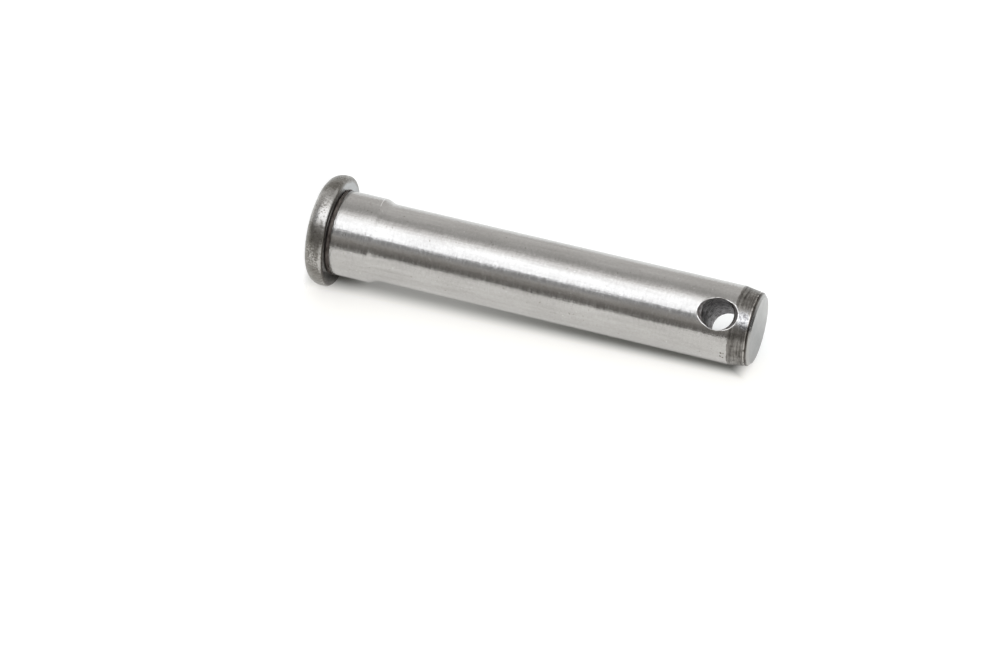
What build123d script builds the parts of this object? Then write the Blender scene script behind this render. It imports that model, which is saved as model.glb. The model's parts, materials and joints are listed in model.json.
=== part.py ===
from build123d import *
import os

# Headed clevis pin with a locating collar and a cross hole for the cotter.
#
# One piece of steel: the flat round head is upset on the bar, then the underside of the head,
# the collar, the shank and the nose are turned, and the cross hole is drilled near the free end.
# Frame: origin at the centre of the head's outer face, +Z along the pin towards the free end,
# +X along the cross hole. Millimetres.

# Diameters. The nose's small diameter is where its taper meets the chamfer of the end face.
shank_diameter = 12.7
collar_diameter = 13.75
head_diameter = 18.1
nose_small_diameter = 11.75
cross_hole_diameter = 5.15

# Head: a plain disc, well rounded on its outer face and only eased at its seat.
head_thickness = 3.45
head_face_rounding = 2.2
head_seat_rounding = 0.65

# Collar: the thicker neck that fills the first ear of the clevis. The relief is the undercut
# turned into its foot and a little into the head, so that the ear seats flat.
relief_width = 0.35
relief_depth = 0.45
relief_sink = 0.2
relief_lead = 0.12
collar_length = 6.65
collar_foot_bevel = 0.12
collar_end_rounding = 0.25
shoulder_length = 0.8

# Shank and nose, measured from the seat under the head. The nose's length includes its chamfer.
under_head_length = 69.75
nose_length = 3.4
nose_chamfer = 0.5
nose_edge_rounding = 0.2

# Cross hole, broken at both mouths by a light countersink.
cross_hole_setback = 5.8
mouth_widening = 0.7
mouth_depth = 0.5

# Heights up the pin that follow from the sizes above.
seat_z = head_thickness
relief_top_z = seat_z + relief_width
collar_end_z = seat_z + collar_length
shank_start_z = collar_end_z + shoulder_length
free_end_z = seat_z + under_head_length
nose_start_z = free_end_z - nose_length
cross_hole_z = free_end_z - cross_hole_setback


def rounded(profile, corner, radius):
    """Round the corner of a flat profile that lies nearest to a given point."""
    return fillet(profile.vertices().sort_by_distance(corner)[0], radius)


def turned_body():
    """Head, relief groove, collar, shoulder, shank and chamfered nose as one turned solid."""
    head_radius = head_diameter / 2
    collar_radius = collar_diameter / 2
    shank_radius = shank_diameter / 2
    nose_small_radius = nose_small_diameter / 2
    end_face_radius = nose_small_radius - nose_chamfer
    relief_radius = collar_radius - relief_depth
    outline = Polyline(
        (0, 0),
        (head_radius, 0),
        (head_radius, seat_z),
        (collar_radius + relief_lead, seat_z),
        (relief_radius, seat_z - relief_sink),
        (relief_radius, relief_top_z),
        (collar_radius - collar_foot_bevel, relief_top_z),
        (collar_radius, relief_top_z + collar_foot_bevel),
        (collar_radius, collar_end_z),
        (shank_radius, shank_start_z),
        (shank_radius, nose_start_z),
        (nose_small_radius, free_end_z - nose_chamfer),
        (end_face_radius, free_end_z),
        (0, free_end_z),
        close=True,
    )
    profile = make_face(outline)
    profile = rounded(profile, (head_radius, 0), head_face_rounding)
    profile = rounded(profile, (head_radius, seat_z), head_seat_rounding)
    profile = rounded(profile, (collar_radius, collar_end_z), collar_end_rounding)
    profile = rounded(profile, (end_face_radius, free_end_z), nose_edge_rounding)
    return revolve(Plane.XZ * profile, Axis.Z)


def cross_hole_tool():
    """Everything the drill and the two countersinks take away, turned about the hole's axis."""
    hole_radius = cross_hole_diameter / 2
    shank_radius = shank_diameter / 2
    wall_end_x = shank_radius - mouth_depth
    outside_x = shank_radius + mouth_depth
    outside_radius = hole_radius + 2 * mouth_widening
    outline = Polyline(
        (-outside_x, 0),
        (-outside_x, outside_radius),
        (-wall_end_x, hole_radius),
        (wall_end_x, hole_radius),
        (outside_x, outside_radius),
        (outside_x, 0),
        close=True,
    )
    profile = Plane.XZ * make_face(outline)
    return Pos(0, 0, cross_hole_z) * revolve(profile, Axis.X)


def clevis_pin():
    """The finished pin: the turned body with its cross hole."""
    return turned_body() - cross_hole_tool()


os.makedirs("parts", exist_ok=True)
pin = clevis_pin()
pin.label = "clevis_pin"
export_step(pin, "parts/clevis_pin.step")
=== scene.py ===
import json
import math

import bmesh
import bpy
import numpy as np
from mathutils import Matrix, Vector


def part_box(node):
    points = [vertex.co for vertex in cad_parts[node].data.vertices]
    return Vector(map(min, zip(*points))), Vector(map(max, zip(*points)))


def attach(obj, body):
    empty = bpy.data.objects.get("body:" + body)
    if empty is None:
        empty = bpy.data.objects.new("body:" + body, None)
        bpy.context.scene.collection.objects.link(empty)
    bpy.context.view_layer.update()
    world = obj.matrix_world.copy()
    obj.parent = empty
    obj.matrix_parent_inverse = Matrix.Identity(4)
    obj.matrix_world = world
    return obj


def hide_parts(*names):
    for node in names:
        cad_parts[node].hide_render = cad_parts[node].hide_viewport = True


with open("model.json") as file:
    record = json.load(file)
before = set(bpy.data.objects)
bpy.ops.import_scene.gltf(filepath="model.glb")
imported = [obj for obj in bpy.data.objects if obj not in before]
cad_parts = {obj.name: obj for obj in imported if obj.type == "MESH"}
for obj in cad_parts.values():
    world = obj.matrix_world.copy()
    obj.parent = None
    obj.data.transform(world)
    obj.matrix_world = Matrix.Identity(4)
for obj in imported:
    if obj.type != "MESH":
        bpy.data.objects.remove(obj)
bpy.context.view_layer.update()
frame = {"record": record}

# ---------------------------------------------------------------------------------------------
# Head. A round disc, upset hot on the end of a steel bar. Its outer face is flat, and its rounded
# rim still wears dull forge scale, rubbed brighter in grains by handling. Only its underside has
# been faced, because the ear of the clevis seats on it.
# ---------------------------------------------------------------------------------------------
mm = 0.001
pin_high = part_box("clevis_pin")[1]
mounts = {mount["name"]: mount for mount in frame["record"]["mounts"]}
head_radius = pin_high.x
seat_height = mounts["head_seat"]["pos_m"][2]
head_face_rounding = 2.2 * mm
head_seat_rounding = 0.65 * mm
head_face_step = 0.8 * mm
rim_step = 0.14 * mm
forging_unevenness = 0.02 * mm
forging_wave = 9.0 * mm

# Shades give the colour at each value of the noise that picks it.
scale_shades = {
    0.34: (0.122, 0.115, 0.104),
    0.50: (0.182, 0.174, 0.161),
    0.66: (0.255, 0.246, 0.232),
}
rubbed_and_highlit_scale = (0.42, 0.411, 0.40)
pitted_scale = (0.085, 0.077, 0.069)
# Painted shade on the scale just within the seat edge, except towards one side.
shaded_scale = (0.075, 0.068, 0.060)
# Spots on the rim brightened by rubbing and by painted highlight, where the rim mirrors bright
# light.
rubbed_and_highlit_spots = [
    # turn about the axis in degrees, share of the rim's height, reach, strength
    (-12.0, 0.55, 3.3 * mm, 0.28),
    (44.0, 0.60, 2.6 * mm, 0.12),
]
# A thin painted highlight along the seat edge.
edge_highlight_inset = 0.36 * mm
edge_highlight_half_width = 0.2 * mm
edge_highlight_strength = 0.13
facing_shades = {0.3: (0.27, 0.276, 0.282), 0.7: (0.37, 0.377, 0.384)}
# The darker shades of the facing are painted shade, laid over all but one side of it.
shaded_facing_shades = {0.35: (0.10, 0.096, 0.090), 0.65: (0.17, 0.163, 0.153)}
scale_left_on_facing = (0.19, 0.182, 0.172)
# The painted shade fades out across y between these two.
unshaded_at = -6.4 * mm
fully_shaded_at = -4.3 * mm


def fitted(tree, kind, inputs=None, **settings):
    """A node with its settings, each of its inputs set to a number or joined to an output."""
    node = tree.nodes.new(kind)
    for name, value in settings.items():
        setattr(node, name, value)
    for name, value in (inputs or {}).items():
        if isinstance(value, bpy.types.NodeSocket):
            tree.links.new(value, node.inputs[name])
        else:
            node.inputs[name].default_value = value
    return node


def new_finish(name, metallic=1.0):
    """A material with one principled shader, its node tree, and the shader itself."""
    material = bpy.data.materials.new(name)
    material.use_nodes = True
    shader = material.node_tree.nodes["Principled BSDF"]
    shader.inputs["Metallic"].default_value = metallic
    return material, material.node_tree, shader


def marks(tree, cells, detail=3.0, roughness=0.55, shift=0.0):
    """Noise from 0 to 1 with so many cells to the metre along X, Y and Z."""
    place = fitted(tree, "ShaderNodeTexCoord").outputs["Object"]
    stretch = {"Vector": place, "Scale": cells, "Location": (shift, shift, shift)}
    stretched = fitted(tree, "ShaderNodeMapping", stretch).outputs[0]
    look = {"Vector": stretched, "Scale": 1.0, "Detail": detail, "Roughness": roughness}
    return fitted(tree, "ShaderNodeTexNoise", look).outputs["Fac"]


def round_marks(tree, round_pin, along_pin, **look):
    """Noise with so many cells to the metre across the pin's section and so many along its axis."""
    return marks(tree, (round_pin, round_pin, along_pin), **look)


def reckon(tree, operation, first, second=0.0):
    """Two values added, multiplied and so on."""
    return fitted(tree, "ShaderNodeMath", {0: first, 1: second}, operation=operation).outputs[0]


def summed(tree, *weighted):
    """The sum of values, each times its weight."""
    total = 0.0
    for value, weight in weighted:
        inputs = {0: value, 1: weight, 2: total}
        total = fitted(tree, "ShaderNodeMath", inputs, operation="MULTIPLY_ADD").outputs[0]
    return total


def diagonal(tree, first, second):
    """The root of the sum of the squares of two values."""
    squares = [(reckon(tree, "MULTIPLY", value, value), 1.0) for value in (first, second)]
    return reckon(tree, "SQRT", summed(tree, *squares))


def spread(tree, value, start, end, low=0.0, high=1.0):
    """The value carried smoothly from the range start..end to low..high, and held at its ends."""
    limits = {"Value": value, "From Min": start, "From Max": end, "To Min": low, "To Max": high}
    node = fitted(tree, "ShaderNodeMapRange", limits, interpolation_type="SMOOTHSTEP")
    return node.outputs["Result"]


def varied(tree, noise, low, high):
    """A number that goes from low to high over the noise's usual range, which is 0.3 to 0.7."""
    return spread(tree, noise, 0.3, 0.7, low, high)


def shades(tree, value, stops):
    """The colour that the value picks from stops of value and colour."""
    ramp = fitted(tree, "ShaderNodeValToRGB", {"Fac": value})
    elements = ramp.color_ramp.elements
    while len(elements) < len(stops):
        elements.new(0.5)
    for element, (position, colour) in zip(elements, stops.items()):
        element.position = position
        element.color = (*colour, 1.0)
    return ramp.outputs["Color"]


def mixed(tree, amount, first, second):
    """The first colour where the amount is 0, the second where it is 1."""
    node = fitted(tree, "ShaderNodeMix", {0: amount}, data_type="RGBA")
    for socket, colour in ((node.inputs[6], first), (node.inputs[7], second)):
        if isinstance(colour, bpy.types.NodeSocket):
            tree.links.new(colour, socket)
        else:
            socket.default_value = (*colour, 1.0)
    return node.outputs[2]


def raised(tree, height, depth, under=None):
    """A bump of that depth in metres, over another bump if one is given."""
    inputs = {"Height": height, "Distance": depth, "Strength": 0.6}
    if under is not None:
        inputs["Normal"] = under
    return fitted(tree, "ShaderNodeBump", inputs).outputs["Normal"]


def on_pin(tree, axis):
    """One coordinate of the point on the pin, in metres."""
    place = fitted(tree, "ShaderNodeTexCoord").outputs["Object"]
    return fitted(tree, "ShaderNodeSeparateXYZ", {"Vector": place}).outputs[axis]


def line_at(tree, height, middle, half_width):
    """1 on a ring at that height and 0 away from it."""
    away = reckon(tree, "ABSOLUTE", reckon(tree, "SUBTRACT", height, middle))
    return spread(tree, away, 1.5 * half_width, 0.5 * half_width)


def spot_at(tree, degrees, radius, height, reach, fray=0.0):
    """1 close to a place on the pin and 0 beyond the reach, with its edge frayed by a value."""
    place = fitted(tree, "ShaderNodeTexCoord").outputs["Object"]
    turn = math.radians(degrees)
    ends = {0: place, 1: (radius * math.cos(turn), radius * math.sin(turn), height)}
    away = fitted(tree, "ShaderNodeVectorMath", ends, operation="DISTANCE").outputs["Value"]
    return spread(tree, reckon(tree, "ADD", away, fray), 1.5 * reach, 0.5 * reach)


def shaded_side(tree):
    """1 on most of the pin, where painted shade lies, and 0 towards one side of it, which is left
    bright.
    """
    return spread(tree, on_pin(tree, "Y"), unshaded_at, fully_shaded_at)


def dress(tree, shader, colour, roughness, normal):
    """Join a colour, a roughness and a bumped normal to the shader."""
    tree.links.new(colour, shader.inputs["Base Color"])
    tree.links.new(roughness, shader.inputs["Roughness"])
    tree.links.new(normal, shader.inputs["Normal"])


def forge_scale():
    """Brown-grey scale, finely pitted, with patches where rubbing has bared bright steel in its
    grains.

    Two spots on the rim are brightened by rubbing and by painted highlight, where the rim mirrors
    bright light. A thin dotted painted highlight runs along its seat edge, and painted shade
    darkens what lies just within it, except towards one side.
    """
    material, tree, shader = new_finish("forge_scale")
    height = on_pin(tree, "Z")
    cloud = round_marks(tree, 420, 420, detail=4.0, roughness=0.6)
    grain = round_marks(tree, 2900, 2900, roughness=0.6, shift=3.0)
    patches = round_marks(tree, 260, 300, detail=2.0, shift=6.0)
    colour = shades(tree, summed(tree, (cloud, 0.5), (grain, 0.5)), scale_shades)
    fray = summed(tree, (grain, 3.0 * mm), (cloud, 2.0 * mm), (1.0, -2.5 * mm))
    rubs_and_highlights = [(grain, 0.6), (patches, 0.32)]
    for degrees, share, reach, strength in rubbed_and_highlit_spots:
        spot = spot_at(tree, degrees, head_radius, share * seat_height, reach, fray)
        rubs_and_highlights.append((spot, strength))
    # A painted highlight along the seat edge.
    edge_highlight = line_at(tree, height, seat_height - edge_highlight_inset, edge_highlight_half_width)
    rubs_and_highlights.append((edge_highlight, edge_highlight_strength))
    rubbed_and_highlit = spread(tree, summed(tree, *rubs_and_highlights), 0.56, 0.73)
    colour = mixed(tree, rubbed_and_highlit, colour, rubbed_and_highlit_scale)
    pits = spread(tree, grain, 0.36, 0.28)
    colour = mixed(tree, pits, colour, pitted_scale)
    # Painted shade just within the seat edge.
    inside_edge = spread(tree, height, seat_height - 0.2 * mm, seat_height - 0.08 * mm)
    edge_shade = reckon(tree, "MULTIPLY", inside_edge, shaded_side(tree))
    colour = mixed(tree, edge_shade, colour, shaded_scale)
    gloss = summed(tree, (varied(tree, cloud, 0.24, 0.36), 1.0), (rubbed_and_highlit, -0.04), (pits, 0.1))
    blisters = raised(tree, cloud, 0.14 * mm)
    dress(tree, shader, colour, gloss, raised(tree, grain, 0.08 * mm, blisters))
    return material


def faced_underside():
    """The underside of the head: a smooth facing cut, bright towards one side and darkened
    elsewhere by painted shade.

    The facing stops a little short of the rounded edge, so a ragged ring of scale is left there.
    """
    material, tree, shader = new_finish("faced_underside")
    rings = round_marks(tree, 1600, 300)
    blotches = round_marks(tree, 600, 600, shift=7.0)
    bright = shades(tree, blotches, facing_shades)
    shaded_facing = shades(tree, blotches, shaded_facing_shades)
    # Painted shade over all but one side of the facing.
    colour = mixed(tree, shaded_side(tree), bright, shaded_facing)
    from_axis = diagonal(tree, on_pin(tree, "X"), on_pin(tree, "Y"))
    ragged = summed(tree, (from_axis, 1.0), (blotches, 1.4 * mm))
    left_scale = spread(tree, ragged, head_radius - 0.35 * mm, head_radius + 0.1 * mm)
    colour = mixed(tree, left_scale, colour, scale_left_on_facing)
    dress(tree, shader, colour, varied(tree, rings, 0.14, 0.22), raised(tree, rings, 0.012 * mm))
    return material


head_corners = [
    # distance from the axis, height, rounding, spacing and finish of the run that follows
    (0.0, 0.0, 0.0, head_face_step, forge_scale),
    (head_radius, 0.0, head_face_rounding, rim_step, forge_scale),
    (head_radius, seat_height, head_seat_rounding, rim_step, faced_underside),
]

# ---------------------------------------------------------------------------------------------
# Relief. A narrow groove undercut at the foot of the collar, so that the ear seats flat. Its dark
# colour is partly the black of the heat and old oil, where no cloth reaches, and partly painted
# shade.
# ---------------------------------------------------------------------------------------------
collar_radius = mounts["collar"]["dims"]["r_mm"] * mm
relief_depth = 0.45 * mm
relief_width = 0.35 * mm
relief_lead = 0.12 * mm
relief_sink = 0.2 * mm
relief_lip_rounding = 0.03 * mm
relief_rounding = 0.06 * mm
relief_step = 0.1 * mm
relief_radius = collar_radius - relief_depth
relief_top = seat_height + relief_width
groove_shades = {0.34: (0.11, 0.094, 0.084), 0.66: (0.32, 0.285, 0.265)}


def dark_groove_finish():
    """Black scale and dried oily residue at the bottom of the groove, its darkness partly painted
    shade.
    """
    material, tree, shader = new_finish("blackened_groove", metallic=0.6)
    cloud = round_marks(tree, 700, 1500)
    # The dark colour is partly painted shade in the groove.
    colour = shades(tree, cloud, groove_shades)
    dress(tree, shader, colour, varied(tree, cloud, 0.45, 0.6), raised(tree, cloud, 0.04 * mm))
    return material


relief_corners = [
    # in the same order as the head's
    (collar_radius + relief_lead, seat_height, relief_lip_rounding, relief_step, dark_groove_finish),
    (relief_radius, seat_height - relief_sink, relief_rounding, relief_step, dark_groove_finish),
    (relief_radius, relief_top, relief_rounding, relief_step, dark_groove_finish),
]

# ---------------------------------------------------------------------------------------------
# Collar and shank. Turned bright in one pass of the lathe: the collar is a little thicker than the
# shank and ends in a short sloping shoulder. Short tool marks run round both, among small specks,
# and four pits lie close together near the nose.
# ---------------------------------------------------------------------------------------------
shank_radius = mounts["shank"]["dims"]["r_mm"] * mm
free_end = pin_high.z
collar_length = 6.65 * mm
collar_foot_bevel = 0.1 * mm
collar_end_rounding = 1.7 * mm
shoulder_length = 1.0 * mm
shank_start_rounding = 2.0 * mm
nose_length = 3.4 * mm
collar_end = seat_height + collar_length
shank_start = collar_end + shoulder_length
nose_start = free_end - nose_length
steel_shades = {0.34: (0.385, 0.377, 0.370), 0.66: (0.505, 0.498, 0.493)}
brown_specks = (0.20, 0.175, 0.155)
bright_specks = (0.68, 0.68, 0.68)
bright_mark_colour = (0.86, 0.86, 0.87)
pit_colour = (0.10, 0.085, 0.07)
pit_radius = 0.15 * mm
pit_places = [
    # turn about the axis in degrees, height
    (59.2, nose_start - 0.84 * mm),
    (58.7, nose_start - 0.37 * mm),
    (66.3, nose_start - 0.93 * mm),
    (68.6, nose_start - 0.53 * mm),
]
# A painted highlight along the shoulder at the collar's end, and a small bright dot.
shoulder_highlight_height = collar_end + 0.86 * mm
shoulder_highlight_slant = 0.19
shoulder_highlight_half_width = 0.055 * mm
bright_dot_turn = 97.0
bright_dot_height = shank_start - 0.4 * mm
bright_dot_reach = 0.24 * mm

# The body is open round each mouth of the cross hole, where the hole's own faces fill it.
hole_height = mounts["cotter_hole"]["pos_m"][2]
patch_half_height = 4.2 * mm
patch_foot = hole_height - patch_half_height
patch_top = hole_height + patch_half_height


def turned_finish(tree):
    """Colour, roughness and normal of bright turned steel.

    Short marks round the axis tilt the surface a little to and fro, which frays the edges of what
    it mirrors. Soft streaks along it, mottling, faint stains and small specks colour it.
    """
    teeth = round_marks(tree, 1000, 3600, detail=2.0, shift=2.0)
    streaks = round_marks(tree, 900, 90, shift=13.0)
    grain = round_marks(tree, 1800, 2400, roughness=0.6, shift=5.0)
    stains = round_marks(tree, 170, 120, detail=4.0, shift=7.0)
    specks = round_marks(tree, 1700, 2100, shift=11.0)
    tone = summed(tree, (grain, 0.26), (streaks, 0.44), (stains, 0.30))
    colour = shades(tree, tone, steel_shades)
    colour = mixed(tree, spread(tree, specks, 0.325, 0.265, 0.0, 0.6), colour, brown_specks)
    colour = mixed(tree, spread(tree, specks, 0.68, 0.75, 0.0, 0.6), colour, bright_specks)
    normal = raised(tree, teeth, 0.047 * mm, raised(tree, streaks, 0.035 * mm))
    return colour, varied(tree, teeth, 0.13, 0.25), normal


def turned_steel():
    """Bright turned steel, with the four pits, a small bright dot, and a painted highlight along
    the shoulder at the collar's end.

    The highlight lies where z less the slant times y is its height, on one side of the pin.
    """
    material, tree, shader = new_finish("turned_steel")
    colour, gloss, normal = turned_finish(tree)
    pits = 0.0
    for degrees, height in pit_places:
        pit = spot_at(tree, degrees, shank_radius, height, pit_radius)
        pits = reckon(tree, "MAXIMUM", pit, pits)
    colour = mixed(tree, pits, colour, pit_colour)
    # The painted highlight along the shoulder, on one side of the pin.
    sideways = on_pin(tree, "Y")
    slanted = summed(tree, (on_pin(tree, "Z"), 1.0), (sideways, -shoulder_highlight_slant))
    shoulder_highlight = line_at(tree, slanted, shoulder_highlight_height, shoulder_highlight_half_width)
    shoulder_highlight = reckon(tree, "MULTIPLY", shoulder_highlight, spread(tree, sideways, -4.4 * mm, -4.9 * mm))
    shoulder_highlight = reckon(tree, "MULTIPLY", shoulder_highlight, 0.6)
    bright_dot = spot_at(tree, bright_dot_turn, shank_radius, bright_dot_height, bright_dot_reach)
    colour = mixed(tree, reckon(tree, "MAXIMUM", shoulder_highlight, bright_dot), colour, bright_mark_colour)
    level = reckon(tree, "SUBTRACT", 1.0, pits)
    dress(tree, shader, colour, gloss, raised(tree, level, 0.03 * mm, normal))
    return material


shank_corners = [
    # in the same order as the head's
    (collar_radius - collar_foot_bevel, relief_top, 0.03 * mm, 0.08 * mm, turned_steel),
    (collar_radius, relief_top + collar_foot_bevel, 0.05 * mm, 0.5 * mm, turned_steel),
    (collar_radius, collar_end, collar_end_rounding, 0.12 * mm, turned_steel),
    (shank_radius, shank_start, shank_start_rounding, 2.0 * mm, turned_steel),
    (shank_radius, patch_foot, 0.0, 0.17 * mm, turned_steel),
]

# ---------------------------------------------------------------------------------------------
# Nose. A short taper that leads the pin into its hole, roughed with a coarse tool and left dark. It
# is rubbed bright beside both mouths of the cross hole, where a painted highlight brightens it too.
# A small chamfer runs round the flat end face, which is faced off and dull.
# ---------------------------------------------------------------------------------------------
nose_small_radius = 5.875 * mm
nose_chamfer = 0.5 * mm
nose_edge_rounding = 0.2 * mm
nose_ring_depth = 0.011 * mm
nose_ring_pitch = 0.47 * mm
fine_ring_pitch = 0.29 * mm
nose_step = 0.09 * mm
end_face_step = 0.6 * mm
ragged_start = 0.25 * mm
nose_foot = nose_start - 1.5 * ragged_start
nose_shades = {0.37: (0.070, 0.065, 0.060), 0.50: (0.166, 0.158, 0.149), 0.63: (0.28, 0.27, 0.26)}
# Wear and painted highlight brighten the nose beside both mouths.
wear_and_highlight_shades = {0.36: (0.14, 0.137, 0.142), 0.50: (0.36, 0.357, 0.362), 0.62: (0.53, 0.53, 0.535)}
wear_highlight_half_width = 1.15 * mm
wear_highlight_softness = 0.55 * mm
smear_fray = 4.5 * mm
ring_fray = 2.0 * mm
# A painted highlight and a painted shade run round the nose where the chamfer begins.
crest_height = free_end - 0.72 * mm
crest_half_width = 0.09 * mm
crest_highlight_colour = (0.50, 0.48, 0.46)
dark_line_height = free_end - 0.55 * mm
dark_line_half_width = 0.13 * mm
dark_line_shade_colour = (0.045, 0.040, 0.036)
chamfer_colour = (0.40, 0.398, 0.394)
end_shades = {0.36: (0.44, 0.44, 0.435), 0.62: (0.54, 0.536, 0.53)}
# Painted shade on one side of the end face.
end_face_shade_colour = (0.10, 0.10, 0.105)


def between(tree, amount, first, second):
    """The first number where the amount is 0, the second where it is 1."""
    inputs = {0: amount, 2: first, 3: second}
    return fitted(tree, "ShaderNodeMix", inputs, data_type="FLOAT").outputs[0]


def rough_turned():
    """Dark steel with coarse ragged rings, with an uneven start in the bright shank.

    A painted highlight, as of a thin bright ridge, and a painted shade, as of a dark groove, run
    round it where the chamfer begins, and the chamfer has the tone of the end face. Wear and a
    painted highlight brighten it where y, frayed by the two noises, is small. The noises average
    one half, so half of what they add is added to that band's half width.
    """
    material, tree, shader = new_finish("rough_turned_nose")
    shank_colour, shank_gloss, shank_normal = turned_finish(tree)
    height = on_pin(tree, "Z")
    rings = round_marks(tree, 240, 2900, roughness=0.7)
    smears = round_marks(tree, 1500, 1500, roughness=0.6, shift=4.0)
    colour = shades(tree, summed(tree, (rings, 0.65), (smears, 0.35)), nose_shades)

    # Wear and painted highlight where y is small.
    aside = reckon(tree, "ABSOLUTE", on_pin(tree, "Y"))
    frayed = summed(tree, (aside, 1.0), (smears, smear_fray), (rings, ring_fray))
    edge = wear_highlight_half_width + (smear_fray + ring_fray) / 2
    wear_and_highlight = spread(tree, frayed, edge + wear_highlight_softness, edge - wear_highlight_softness)
    colour = mixed(tree, wear_and_highlight, colour, shades(tree, smears, wear_and_highlight_shades))

    # Painted highlight of a thin ridge, then painted shade of a dark line.
    crest_highlight = line_at(tree, height, crest_height, crest_half_width)
    crest_highlight = reckon(tree, "MULTIPLY", crest_highlight, spread(tree, smears, 0.42, 0.52))
    colour = mixed(tree, crest_highlight, colour, crest_highlight_colour)
    dark_line_shade = line_at(tree, height, dark_line_height, dark_line_half_width)
    dark_line_shade = reckon(tree, "MULTIPLY", dark_line_shade, spread(tree, rings, 0.62, 0.5, 0.6, 1.0))
    colour = mixed(tree, dark_line_shade, colour, dark_line_shade_colour)
    on_chamfer = spread(tree, height, free_end - 0.36 * mm, free_end - 0.26 * mm)
    colour = mixed(tree, on_chamfer, colour, chamfer_colour)

    ragged = round_marks(tree, 1700, 1100, detail=4.0, roughness=0.65, shift=8.0)
    start = summed(tree, (ragged, 2 * ragged_start), (height, 1.0))
    on_nose = spread(tree, start, nose_start + 0.92 * ragged_start, nose_start + 1.1 * ragged_start)
    colour = mixed(tree, on_nose, shank_colour, colour)
    gloss = between(tree, wear_and_highlight, varied(tree, rings, 0.38, 0.26), 0.24)
    gloss = between(tree, on_nose, shank_gloss, gloss)
    normals = {0: on_nose, 4: shank_normal}
    normals[5] = raised(tree, smears, 0.04 * mm, raised(tree, rings, 0.04 * mm))
    normal = fitted(tree, "ShaderNodeMix", normals, data_type="VECTOR").outputs[1]
    dress(tree, shader, colour, gloss, normal)
    return material


def faced_end():
    """The end face: pale dull steel with faint facing rings, and painted shade on one side."""
    material, tree, shader = new_finish("faced_end")
    cloud = round_marks(tree, 260, 260, detail=4.0)
    rings = round_marks(tree, 1900, 200, shift=2.0)
    colour = shades(tree, summed(tree, (cloud, 0.7), (rings, 0.3)), end_shades)
    # Painted shade on one side.
    end_face_shade = spread(tree, on_pin(tree, "Y"), -4.8 * mm, 2.0 * mm, 0.0, 0.40)
    colour = mixed(tree, end_face_shade, colour, end_face_shade_colour)
    dress(tree, shader, colour, varied(tree, rings, 0.40, 0.50), raised(tree, rings, 0.012 * mm))
    return material


def tool_rings(turn, height):
    """Feed marks on the nose: a sine of the height over each of two pitches, the second at half.

    The height in the first wanders a little with the turn. The marks come in over the start of the
    nose and end below its painted highlight line.
    """
    wander = 0.05 * mm * np.cos(2 * turn + 1.0) + 0.03 * mm * np.cos(5 * turn)
    beat = np.sin(2 * np.pi * (height + wander) / nose_ring_pitch)
    beat = beat + 0.5 * np.sin(2 * np.pi * height / fine_ring_pitch)
    rise = np.clip((height - nose_start) / (0.3 * mm), 0, 1)
    fall = np.clip((crest_height - height) / (0.2 * mm), 0, 1)
    return nose_ring_depth * beat * rise * fall


taper = (nose_small_radius - shank_radius) / (nose_length - nose_chamfer)
patch_top_radius = shank_radius + taper * (patch_top - nose_start)
nose_corners = [
    # in the same order as the head's
    (shank_radius, nose_foot, 0.0, 0.15 * mm, rough_turned),
    (shank_radius, nose_start, 0.3 * mm, nose_step, rough_turned),
    (patch_top_radius, patch_top, 0.0, nose_step, rough_turned),
    (nose_small_radius, free_end - nose_chamfer, 0.08 * mm, 0.07 * mm, rough_turned),
    (nose_small_radius - nose_chamfer, free_end, nose_edge_rounding, end_face_step, faced_end),
    (0.0, free_end, 0.0, end_face_step, faced_end),
]

# ---------------------------------------------------------------------------------------------
# Turned body. Head, relief, collar, shank and nose are one piece of steel: the line from the middle
# of the head's face to the middle of the end face is carried round the axis.
# ---------------------------------------------------------------------------------------------
columns = 288
arc_step = 0.14 * mm
rim_band = 1.8 * mm
rim_waves = 24
rim_seed = 11
corners = head_corners + relief_corners + shank_corners + nose_corners
finishes = [forge_scale, faced_underside, dark_groove_finish, turned_steel, rough_turned, faced_end]


def turned_line(corners):
    """Distance from the axis, height and finish number of points along the turned line.

    Each corner of rounding k is replaced by the arc of radius k that touches both runs: its centre
    lies k / cos(half the turn) from the corner, on the line that halves it. An arc keeps the finish
    of the run before it.
    """
    spots = np.array([corner[:2] for corner in corners])
    starts = spots.copy()
    ends = spots.copy()
    arcs = {}
    for i in range(1, len(corners) - 1):
        into = (spots[i] - spots[i - 1]) / np.linalg.norm(spots[i] - spots[i - 1])
        out = (spots[i + 1] - spots[i]) / np.linalg.norm(spots[i + 1] - spots[i])
        turn = np.arccos(np.clip(into @ out, -1, 1))
        rounding = corners[i][2]
        if rounding == 0 or turn < 1e-6:
            continue
        centre = spots[i] + (out - into) / np.linalg.norm(out - into) * rounding / np.cos(turn / 2)
        ends[i] = spots[i] - into * rounding * np.tan(turn / 2)
        starts[i] = spots[i] + out * rounding * np.tan(turn / 2)
        steps = max(int(np.ceil(turn * rounding / min(arc_step, rounding * 0.6))), 3)
        share = np.linspace(0, 1, steps + 1)[:, None]
        before = np.sin((1 - share) * turn) * (ends[i] - centre)
        after = np.sin(share * turn) * (starts[i] - centre)
        arcs[i] = centre + (before + after) / np.sin(turn)
    points = []
    owners = []
    for i in range(len(corners) - 1):
        if i in arcs:
            points.append(arcs[i][:-1])
            owners += [i - 1] * (len(arcs[i]) - 1)
        run = ends[i + 1] - starts[i]
        steps = max(int(round(np.linalg.norm(run) / corners[i][3])), 1)
        points.append(starts[i] + np.linspace(0, 1, steps + 1)[:-1, None] * run)
        owners += [i] * steps
    points.append(spots[-1:])
    owners.append(len(corners) - 1)
    line = np.concatenate(points)
    finish = np.array([finishes.index(corners[owner][4]) for owner in owners])
    return line[:, 0], line[:, 1], finish


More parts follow.
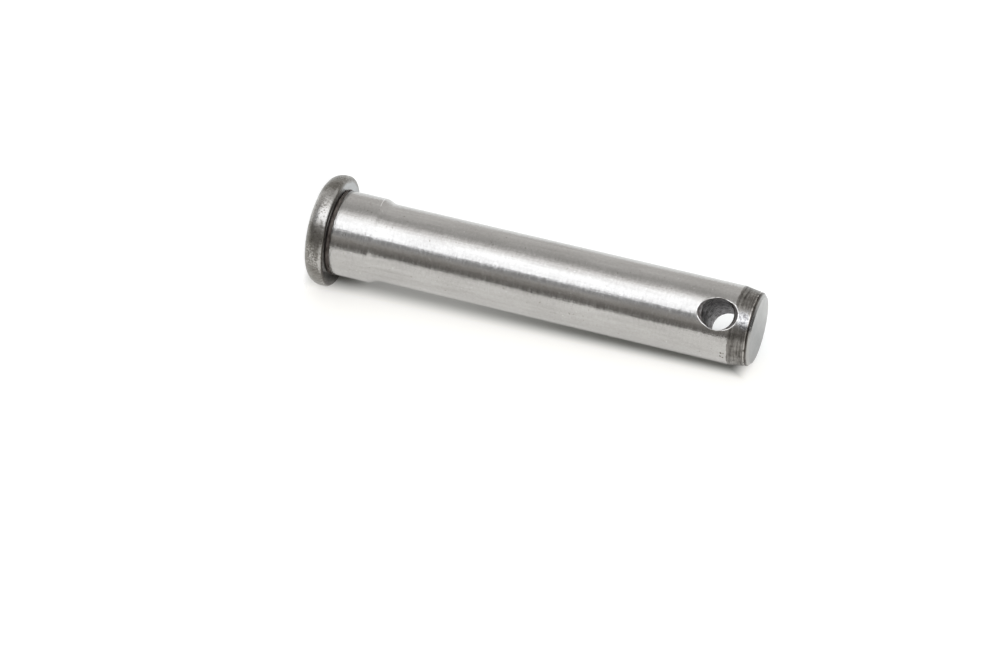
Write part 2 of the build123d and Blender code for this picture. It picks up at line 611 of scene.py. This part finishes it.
def ripple(turn, along, longest_wave, waves, seed):
    """Uneven waves that close on themselves round the axis: a sum of cosines of whole-number order.

    Each wave has a size, an order, a pitch along the line and a phase drawn at random from the
    seed, and the sum is divided by the root of how many there are.
    """
    draw = np.random.default_rng(seed)
    total = np.zeros(np.broadcast(turn, along).shape)
    for _ in range(waves):
        order = draw.integers(2, 22)
        pitch = draw.normal() * 4 * np.pi / longest_wave
        size = draw.normal()
        phase = draw.uniform(0, 2 * np.pi)
        total = total + size * np.cos(order * turn + pitch * along + phase)
    return total / np.sqrt(waves)


# The body's grid: a row for each point of the line, a column for each turn. The forging's waves
# push the rim in and out along its own normal, and fade out towards the seat and the outer face.
line_radius, line_height, line_finish = turned_line(corners)
rows = len(line_radius)
tangent = np.stack([np.gradient(line_radius), np.gradient(line_height)])
tangent = tangent / np.linalg.norm(tangent, axis=0)
travel = np.concatenate([[0], np.cumsum(np.hypot(np.diff(line_radius), np.diff(line_height)))])
turn_grid, travel_grid = np.meshgrid(np.arange(columns) * 2 * np.pi / columns, travel)
on_rim = np.clip((line_radius - head_radius + rim_band) / (1.0 * mm), 0, 1)
on_rim = on_rim * np.clip((seat_height - line_height) / (0.5 * mm), 0, 1)
swell = ripple(turn_grid, travel_grid, forging_wave, rim_waves, rim_seed)
swell = swell * (forging_unevenness * on_rim)[:, None]
grid_radius = line_radius[:, None] + swell * tangent[1][:, None]
grid_radius = grid_radius + tool_rings(turn_grid, line_height[:, None])
grid_radius[[0, -1]] = 0.0
grid_height = line_height[:, None] - swell * tangent[0][:, None]
grid_x = grid_radius * np.cos(turn_grid)
grid_y = grid_radius * np.sin(turn_grid)
grid = np.stack([grid_x, grid_y, grid_height], axis=-1)

# ---------------------------------------------------------------------------------------------
# Cross hole. Drilled right through near the free end for the cotter, and broken at both mouths by a
# countersink held a little off its middle. The drill leaves ridges round the bore, and a thin
# uneven burr stands round each mouth.
# ---------------------------------------------------------------------------------------------
hole_radius = mounts["cotter_hole"]["dims"]["r_mm"] * mm
mouth_widening = 0.83 * mm
mouth_depth = 0.5 * mm
mouth_offset = 0.15 * mm
wall_end = shank_radius - mouth_depth
burr_width = 0.09 * mm
burr_lip = 0.05 * mm
burr_height = 0.035 * mm
ridge_depth = 0.07 * mm
ridge_pitch = 0.76 * mm
burr_waves = 12
burr_seed = 5
patch_half_columns = 32
patch_rings = 14
edge_rings = 6
bore_rings = 72
# The burr's brightness is partly raw metal and partly painted highlight.
burr_shades = {0.36: (0.34, 0.33, 0.32), 0.56: (0.84, 0.83, 0.83)}
# The bore is darkened partly as painted shade inside the hole.
bore_shades = {0.40: (0.060, 0.056, 0.057), 0.51: (0.155, 0.146, 0.147), 0.62: (0.52, 0.505, 0.51)}
# Painted shade in the mouths.
mouth_shade_colour = (0.055, 0.048, 0.045)


def wall_radius(x, turn):
    """Distance of the wall from the hole's axis, at a place along the hole and a turn about it.

    It is the bore's radius, or that of the mouth's cone where the cone is wider. The cone's section
    is a circle of radius R whose centre is offset by k, so it lies at k sin(turn) +
    root(R squared - (k cos(turn)) squared).
    """
    cone = hole_radius + mouth_widening / mouth_depth * (np.abs(x) - wall_end)
    cone = np.maximum(cone, mouth_offset)
    reach = mouth_offset * np.sin(turn) + np.sqrt(cone**2 - (mouth_offset * np.cos(turn)) ** 2)
    return np.maximum(reach, hole_radius)


def on_wall(x, turn):
    """The point of the bore's ridged wall at a distance along the hole and a turn about it.

    The ridges are a sine of x over their pitch, swung by the turn, and half of a second sine over a
    shorter pitch that winds twice round the bore. They fade out towards the mouth.
    """
    inside = np.clip((wall_end - np.abs(x)) / (0.4 * mm), 0, 1)
    ridges = np.sin(2 * np.pi * x / ridge_pitch + 0.8 * np.sin(turn))
    ridges = ridges + 0.5 * np.sin(2 * np.pi * x / (0.57 * ridge_pitch) + 2 * turn)
    reach = wall_radius(x, turn) + ridge_depth * ridges * inside / 2
    return np.stack([x, reach * np.cos(turn), hole_height + reach * np.sin(turn)], axis=-1)


def mouth_edge(turn, body_radius, steps=80):
    """Where the wall meets the body, for each turn about the hole's axis.

    The point at radius p lies at y = p cos(turn), z = hole height + p sin(turn), and on the body
    at x = root(body radius squared - y squared). p is stepped towards the wall's radius at that x.
    """
    reach = np.full_like(turn, hole_radius)
    for _ in range(steps):
        body = body_radius(hole_height + reach * np.sin(turn))
        x = np.sqrt(body**2 - (reach * np.cos(turn)) ** 2)
        reach = (reach + wall_radius(x, turn)) / 2
    return reach, x


def bright_burr():
    """The burr round the mouth: raw metal, nicked, brighter than the steel about it, which shows
    wear. Part of that brightness is painted highlight.
    """
    material, tree, shader = new_finish("bright_burr")
    nicks = round_marks(tree, 900, 900)
    colour = shades(tree, nicks, burr_shades)
    dress(tree, shader, colour, varied(tree, nicks, 0.46, 0.32), raised(tree, nicks, 0.03 * mm))
    return material


def drilled_steel():
    """The wall of the bore and of its mouths: dark, partly as painted shade inside the hole, and
    darker still in the mouths by painted shade, with pale torn lines along the drill's path.

    The pale lines are partly painted highlight on the ridges. They follow the sine of 2 pi x over
    the ridges' pitch, which noise and y push to and fro.
    """
    material, tree, shader = new_finish("drilled_bore")
    along_hole = on_pin(tree, "X")
    torn = marks(tree, (2600, 500, 500), detail=4.0, roughness=0.65)
    blotches = round_marks(tree, 1300, 1300, shift=5.0)
    turns = reckon(tree, "MULTIPLY", along_hole, 2 * math.pi / ridge_pitch)
    wave = reckon(tree, "SINE", summed(tree, (turns, 1.0), (torn, 5.0), (on_pin(tree, "Y"), 300.0)))
    # Pale lines on the ridges, partly painted highlight.
    ridge_highlights = spread(tree, wave, 0.2, 1.0)
    colour = shades(tree, summed(tree, (torn, 0.5), (blotches, 0.5), (ridge_highlights, 0.12)), bore_shades)
    outwards = reckon(tree, "ABSOLUTE", along_hole)
    # Painted shade in the mouths.
    mouth_shade = spread(tree, outwards, wall_end - 0.5 * mm, wall_end, 0.0, 0.75)
    colour = mixed(tree, mouth_shade, colour, mouth_shade_colour)
    ridges = raised(tree, wave, 0.08 * mm)
    gloss = varied(tree, torn, 0.52, 0.38)
    dress(tree, shader, colour, gloss, raised(tree, torn, 0.06 * mm, ridges))
    return material


finishes += [bright_burr, drilled_steel]

# The loop of the body's points round a window in the grid, from which a patch runs to the mouth.
first_row = int(np.argmin(np.abs(line_height - patch_foot)))
last_row = int(np.argmin(np.abs(line_height - patch_top)))
across = np.arange(-patch_half_columns, patch_half_columns + 1)
upward = np.arange(first_row, last_row + 1)
foot_row = np.full(across.size - 1, first_row)
top_row = np.full(across.size - 1, last_row)
left_side = np.full(upward.size - 1, across[0])
right_side = np.full(upward.size - 1, across[-1])
loop_rows = np.concatenate([foot_row, upward[:-1], top_row, upward[:0:-1]])
loop_columns = np.concatenate([across[:-1], right_side, across[:0:-1], left_side])


def body_radius(height):
    """Radius of the turned body beside the hole, without its tool rings."""
    beside = slice(first_row - 1, last_row + 2)
    return np.interp(height, line_height[beside], line_radius[beside])


def on_body(turn, height, lift=0.0):
    """The point of the turned body at that turn and height, lifted off it by a small amount.

    It lies at x = r cos(turn), y = r sin(turn), where r is the body's radius there with its tool
    rings and the lift.
    """
    radius = body_radius(height) + tool_rings(turn, height) + lift
    return np.stack([radius * np.cos(turn), radius * np.sin(turn), height], axis=-1)


# The near mouth. The patch runs over the body from the window's loop to the burr, with its rows
# closer together near the edge. The lip is a curve from the patch over the burr's crest to the
# wall: (1 - t) squared of the first, 2 t (1 - t) of the second and t squared of the third.
loop_turn = loop_columns * 2 * np.pi / columns
loop_height = line_height[loop_rows]
hole_turn = np.arctan2(loop_height - hole_height, loop_turn * shank_radius)
edge_reach, edge_x = mouth_edge(hole_turn, body_radius)
edge_height = hole_height + edge_reach * np.sin(hole_turn)
edge_turn = np.arctan2(edge_reach * np.cos(hole_turn), edge_x)
uneven = np.clip(1 + 0.5 * ripple(hole_turn, 0.0, forging_wave, burr_waves, burr_seed), 0.5, 1.6)
run_turn = loop_turn - edge_turn
run_height = loop_height - edge_height
lip_share = burr_width * uneven / np.hypot(run_turn * shank_radius, run_height)
share = lip_share + np.linspace(1, 0, patch_rings + 1)[1:, None] ** 1.5 * (1 - lip_share)
patch = on_body(edge_turn + share * run_turn, edge_height + share * run_height)
inner = on_wall(edge_x - burr_lip, hole_turn)
burr_crest = on_body(edge_turn, edge_height, burr_height * uneven)
bend = np.linspace(0, 1, edge_rings + 1)[1:, None, None]
lip = (1 - bend) ** 2 * patch[-1] + 2 * bend * (1 - bend) * burr_crest + bend**2 * inner

# The bore runs from the near lip to the far one, with its rings closer together near the mouths.
along_bore = np.linspace(1, -1, bore_rings + 1)[1:-1, None]
along_bore = 0.65 * along_bore + 0.35 * np.sin(along_bore * np.pi / 2)
bore = on_wall((edge_x - burr_lip) * along_bore, hole_turn)

# ---------------------------------------------------------------------------------------------
# The pin. The body and the cross hole are welded into one closed skin, with a finish to each face.
# It stands for the solid pin, and it is the only piece.
# ---------------------------------------------------------------------------------------------
weld_distance = 0.0005 * mm
sharp_angle = math.radians(40)


def quads(numbers):
    """Faces between each row of a closed band of numbered points and the next."""
    beside = np.roll(numbers, -1, axis=1)
    return np.stack([numbers[:-1], beside[:-1], beside[1:], numbers[1:]], axis=-1).reshape(-1, 4)


def in_window(column):
    """Whether a column of faces, counted from a mouth's middle, lies in the window round it."""
    from_middle = (column + columns // 2) % columns - columns // 2
    return (from_middle >= -patch_half_columns) & (from_middle < patch_half_columns)


# Numbering: the body's grid first, then the near patch and lip, the far patch and lip, the bore.
loop = loop_columns.size
near_start = rows * columns
mouth_size = (patch_rings + edge_rings) * loop
far_start = near_start + mouth_size
bore_start = far_start + mouth_size
near = np.concatenate([patch, lip]).reshape(-1, 3)
far = near * np.array([-1.0, 1.0, 1.0])
places = np.concatenate([grid.reshape(-1, 3), near, far, bore.reshape(-1, 3)])
near_loop = loop_rows * columns + loop_columns % columns
far_loop = loop_rows * columns + (columns // 2 - loop_columns) % columns
mouth_numbers = np.arange(mouth_size).reshape(-1, loop)
near_mesh = np.vstack([near_loop, near_start + mouth_numbers])
far_mesh = np.vstack([far_loop, far_start + mouth_numbers])
bore_numbers = bore_start + np.arange((bore_rings - 1) * loop).reshape(-1, loop)
bore_mesh = np.vstack([near_mesh[-1], bore_numbers, far_mesh[-1]])

# The faces: the body's outside both windows, then the two mouths and the bore.
face_row = np.repeat(np.arange(rows - 1), columns)
face_column = np.tile(np.arange(columns), rows - 1)
in_rows = (face_row >= first_row) & (face_row < last_row)
kept = ~(in_rows & (in_window(face_column) | in_window(face_column - columns // 2)))
body_faces = quads(np.arange(rows * columns).reshape(rows, columns))[kept]
body_finish = line_finish[face_row[kept]]
mouth_faces = quads(near_mesh)
mouth_ring = np.repeat(np.arange(patch_rings + edge_rings), loop)
on_nose = places[mouth_faces].mean(axis=1)[:, 2] > nose_foot
patch_finish = np.where(on_nose, finishes.index(rough_turned), finishes.index(turned_steel))
mouth_finish = np.where(mouth_ring >= patch_rings, finishes.index(bright_burr), patch_finish)
bore_faces = quads(bore_mesh)
bore_finish = np.full(len(bore_faces), finishes.index(drilled_steel))
faces = np.concatenate([body_faces, mouth_faces, quads(far_mesh)[:, ::-1], bore_faces])
face_finish = np.concatenate([body_finish, mouth_finish, mouth_finish, bore_finish])

pin_mesh = bpy.data.meshes.new("turned_clevis_pin")
pin_mesh.from_pydata(places, [], faces.tolist())
pin_mesh.polygons.foreach_set("material_index", face_finish.astype(np.int32))
for finish in finishes:
    pin_mesh.materials.append(finish())
pin = bpy.data.objects.new("turned_clevis_pin", pin_mesh)
bpy.context.scene.collection.objects.link(pin)

welded = bmesh.new()
welded.from_mesh(pin_mesh)
bmesh.ops.remove_doubles(welded, verts=welded.verts, dist=weld_distance)
bmesh.ops.recalc_face_normals(welded, faces=welded.faces)
welded.to_mesh(pin_mesh)
welded.free()
pin_mesh.shade_smooth()
pin_mesh.set_sharp_from_angle(angle=sharp_angle)
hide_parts("clevis_pin")
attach(pin, "root")

# ---------------------------------------------------------------------------------------------
# Camera. A long lens close over the pin, which it sees from a little past its free end, turned so
# that the pin lies across the view.
# ---------------------------------------------------------------------------------------------
aim = Vector((-1.549, 9.783, 32.860)) * mm
distance = 653.57 * mm
azimuth = math.radians(8.997)
elevation = math.radians(13.924)
roll = math.radians(103.46)
focal_length = 148.354
film_width = 36.0

outwards = Vector((math.cos(azimuth), math.sin(azimuth), 0.0))
towards_camera = outwards * math.cos(elevation) + Vector((0.0, 0.0, math.sin(elevation)))
level_right = Vector((-math.sin(azimuth), math.cos(azimuth), 0.0))
level_up = towards_camera.cross(level_right)
view_right = level_right * math.cos(roll) + level_up * math.sin(roll)
view_up = level_up * math.cos(roll) - level_right * math.sin(roll)
facing = Matrix((view_right, view_up, towards_camera)).transposed().to_4x4()
camera = bpy.data.objects.new("camera", bpy.data.cameras.new("camera"))
camera.matrix_world = Matrix.Translation(aim + towards_camera * distance) @ facing
camera.data.sensor_width = film_width
camera.data.lens = focal_length
bpy.context.scene.collection.objects.link(camera)
bpy.context.scene.camera = camera

# ---------------------------------------------------------------------------------------------
# Stage. A white floor under the head, a white board that the pin's side lies against, and a light
# tent over both: pale cloth, one bright panel and one dark opening, which the steel mirrors.
# ---------------------------------------------------------------------------------------------
board_azimuth = math.radians(-36.1)
out_of_board = Vector((math.cos(board_azimuth), math.sin(board_azimuth), 0.0))
along_board = Vector((-out_of_board.y, out_of_board.x, 0.0))
card_corners = [(-1, -1), (1, -1), (1, 1), (-1, 1)]
floor_reach = 1.2
floor_white = (0.3, 0.3, 0.3)
floor_light = 0.9
plain_white = (1.0, 1.0, 1.0, 1.0)
rim_touch = 0.7 * seat_height
board_lean = (head_radius - shank_radius) / (nose_start - rim_touch)
board_reach = 0.8
board_gap = 0.06 * mm
board_white = (0.45, 0.455, 0.432)
board_light = 0.62
cool_side = (0.975, 0.99, 1.02)
warm_side = (1.02, 0.996, 0.98)
tent_radius = 1.4
tent_columns = 72
tent_rows = 37
tent_reach = 0.49 * np.pi
fold_bearing = 12
fold_half_width = 5
fold_depth = 0.12
pale_tint = (1.0, 0.985, 0.955)
cool_tint = (0.985, 1.0, 1.02)
warm_tint = (1.0, 0.955, 0.89)

# Each range is where a value starts and ends, then what it is carried to: 0 and 1 if not given.
# Those of the tent are in degrees of bearing, or in heights as parts of its radius.
floor_shows = (-9 * mm, -2 * mm)
warm_half = (-3 * mm, 3 * mm)
hidden_angles = (math.radians(39), math.radians(7))
behind_pin_light = (8.8 * mm, 7.6 * mm, 0.0, 0.65)
past_head = (5 * mm, 9 * mm)
held_off_light = (50 * mm, 20 * mm, 0.0, 0.2)
below_pin = (0.0, -8 * mm)
above_pin = (free_end - 3.6 * mm, free_end - 0.1 * mm)
far_along_light = (75 * mm, 260 * mm, board_light, 0.65 * board_light)
pale_side_light = (-92, -62, 0.82, 0.575)
dark_side_light = (20, 46, 0.53, 0.215)
cloth_top_light = (0.75, 0.92, 1.0, 0.2)
panel_light = (-61, -21.5, 0.0, 1.74)
panel_end = (2, 7, 1.0, 0.0)
panel_foot = (-0.72, -0.6)
panel_top = (0.82, 0.92, 1.0, 0.0)
pale_to_cool = (-60, -15)
cool_to_warm = (10, 30)


def staged(name, points, faces):
    """A stage piece made of those points and faces."""
    mesh = bpy.data.meshes.new(name)
    mesh.from_pydata(points, [], faces)
    made = bpy.data.objects.new(name, mesh)
    bpy.context.scene.collection.objects.link(made)
    return made


def distance_towards(tree, direction):
    """How far a point lies from the pin's axis in that direction, in metres."""
    place = fitted(tree, "ShaderNodeTexCoord").outputs["Object"]
    ends = {0: place, 1: direction}
    return fitted(tree, "ShaderNodeVectorMath", ends, operation="DOT_PRODUCT").outputs["Value"]


def bare_finish(name):
    """A material with no nodes yet, and its node tree."""
    material = bpy.data.materials.new(name)
    material.use_nodes = True
    material.node_tree.nodes.clear()
    return material, material.node_tree


def white_card(name, albedo, lighting):
    """Matt white that also glows a little. It is clear from its back and where shown is 0."""
    material, tree = bare_finish(name)
    tint, glow, shown = lighting(tree)
    matt = fitted(tree, "ShaderNodeBsdfDiffuse", {"Color": (*albedo, 1.0)})
    light = fitted(tree, "ShaderNodeEmission", {"Color": tint, "Strength": glow})
    card = fitted(tree, "ShaderNodeAddShader", {0: matt.outputs[0], 1: light.outputs[0]})
    clear = fitted(tree, "ShaderNodeBsdfTransparent")
    back = fitted(tree, "ShaderNodeNewGeometry").outputs["Backfacing"]
    seen = reckon(tree, "MULTIPLY", reckon(tree, "SUBTRACT", 1.0, back), shown)
    one_sided = {0: seen, 1: clear.outputs[0], 2: card.outputs[0]}
    surface = fitted(tree, "ShaderNodeMixShader", one_sided).outputs[0]
    fitted(tree, "ShaderNodeOutputMaterial", {"Surface": surface})
    return material


def floor_lighting(tree):
    """Tint and strength of the floor's even light, and where it shows.

    The floor fades out towards the board, which goes on below it.
    """
    shown = spread(tree, distance_towards(tree, out_of_board), *floor_shows)
    return plain_white, floor_light, shown


def board_glow(tree):
    """The board glows evenly near the pin, but not where the pin keeps the light off it.

    Seen from a point of the board, the pin's axis lies aside by an angle whose tangent is the
    distance aside over the board's depth, and the pin hides an angle each side of its axis whose
    sine is the shank's radius over the distance of the axis. What counts is the second less the
    first. A little light is kept right behind the pin, so that its back doesn't mirror plain black,
    a fifth of it near the head, whose rim holds the shank off the board, and all of it beyond both
    ends. Far along the board it falls off to about two thirds.
    """
    sideways = distance_towards(tree, along_board)
    aside = reckon(tree, "ABSOLUTE", sideways)
    depth = reckon(tree, "MULTIPLY", distance_towards(tree, out_of_board), -1.0)
    nearness = reckon(tree, "DIVIDE", shank_radius, diagonal(tree, aside, depth))
    lies_aside = reckon(tree, "ARCTAN2", aside, depth)
    hidden = reckon(tree, "SUBTRACT", reckon(tree, "ARCSINE", nearness), lies_aside)
    clear_of_pin = spread(tree, hidden, *hidden_angles)
    behind_pin = spread(tree, reckon(tree, "ADD", sideways, depth), *behind_pin_light)
    clear_of_pin = reckon(tree, "MAXIMUM", clear_of_pin, behind_pin)
    height = on_pin(tree, "Z")
    held_off = spread(tree, height, *past_head)
    held_off = reckon(tree, "MULTIPLY", held_off, spread(tree, height, *held_off_light))
    clear_of_pin = between(tree, held_off, clear_of_pin, 1.0)
    below = spread(tree, height, *below_pin)
    above = spread(tree, height, *above_pin)
    lit = reckon(tree, "MAXIMUM", clear_of_pin, reckon(tree, "MAXIMUM", below, above))
    return reckon(tree, "MULTIPLY", lit, spread(tree, sideways, *far_along_light))


def board_lighting(tree):
    """Tint and strength of the board's light, and where it shows, which is everywhere.

    The light is a little cool on one side of the pin and a little warm on the other.
    """
    warmth = spread(tree, distance_towards(tree, along_board), *warm_half)
    return mixed(tree, warmth, cool_side, warm_side), board_glow(tree), 1.0


def on_board(sideways, height):
    """A point of the board, which touches the head's rim and the end of the shank."""
    depth = head_radius + board_gap - board_lean * (height - rim_touch)
    return -out_of_board * depth + along_board * sideways + Vector((0, 0, height))


def tent_cloth():
    """Light given by the cloth at each bearing and height round the pin, as a part of white.

    The bearing is the angle of x and y in degrees. The pale side lies below 0, and carries the
    bright panel. The side above 0 darkens to the opening, with one darker fold before it.
    """
    material, tree = bare_finish("tent_cloth")
    bearing = reckon(tree, "ARCTAN2", on_pin(tree, "Y"), on_pin(tree, "X"))
    degrees = reckon(tree, "MULTIPLY", bearing, 180 / math.pi)
    rise = reckon(tree, "MULTIPLY", on_pin(tree, "Z"), 1 / tent_radius)
    pale_side = spread(tree, degrees, *pale_side_light)
    fold = line_at(tree, degrees, fold_bearing, fold_half_width)
    fold = reckon(tree, "MULTIPLY", fold, fold_depth)
    dark_side = reckon(tree, "SUBTRACT", spread(tree, degrees, *dark_side_light), fold)
    cloth = between(tree, reckon(tree, "GREATER_THAN", degrees, 0.0), pale_side, dark_side)
    cloth = reckon(tree, "MULTIPLY", cloth, spread(tree, rise, *cloth_top_light))
    panel = spread(tree, degrees, *panel_light)
    for value, edge in ((degrees, panel_end), (rise, panel_foot), (rise, panel_top)):
        panel = reckon(tree, "MULTIPLY", panel, spread(tree, value, *edge))
    tint = mixed(tree, spread(tree, degrees, *pale_to_cool), pale_tint, cool_tint)
    tint = mixed(tree, spread(tree, degrees, *cool_to_warm), tint, warm_tint)
    light = {"Color": tint, "Strength": reckon(tree, "ADD", cloth, panel)}
    surface = fitted(tree, "ShaderNodeEmission", light).outputs[0]
    fitted(tree, "ShaderNodeOutputMaterial", {"Surface": surface})
    return material


floor_points = [(x * floor_reach, y * floor_reach, 0.0) for x, y in card_corners]
floor = staged("floor", floor_points, [(0, 1, 2, 3)])
floor.data.materials.append(white_card("white_floor", floor_white, floor_lighting))
floor.visible_glossy = False
floor.visible_shadow = False

board_points = [on_board(x * board_reach, z * board_reach) for x, z in card_corners]
board = staged("board", board_points, [(0, 1, 2, 3)])
board.data.materials.append(white_card("white_board", board_white, board_lighting))

# The tent is a ball, carried round from just above its lowest point to just below its highest.
tent_turn, tent_rise = np.meshgrid(
    np.arange(tent_columns) * 2 * np.pi / tent_columns,
    np.linspace(-tent_reach, tent_reach, tent_rows),
)
tent_x = np.cos(tent_turn) * np.cos(tent_rise)
tent_y = np.sin(tent_turn) * np.cos(tent_rise)
tent_points = tent_radius * np.stack([tent_x, tent_y, np.sin(tent_rise)], axis=-1).reshape(-1, 3)
tent_faces = quads(np.arange(len(tent_points)).reshape(-1, tent_columns))[:, ::-1]
tent = staged("light_tent", tent_points, tent_faces.tolist())
tent.data.materials.append(tent_cloth())
tent.visible_camera = False

world = bpy.data.worlds.new("studio")
bpy.context.scene.world = world
world.use_nodes = True
air = world.node_tree.nodes["Background"]
air.inputs["Color"].default_value = plain_white
air.inputs["Strength"].default_value = 1.0
bpy.context.scene.view_settings.view_transform = "Standard"
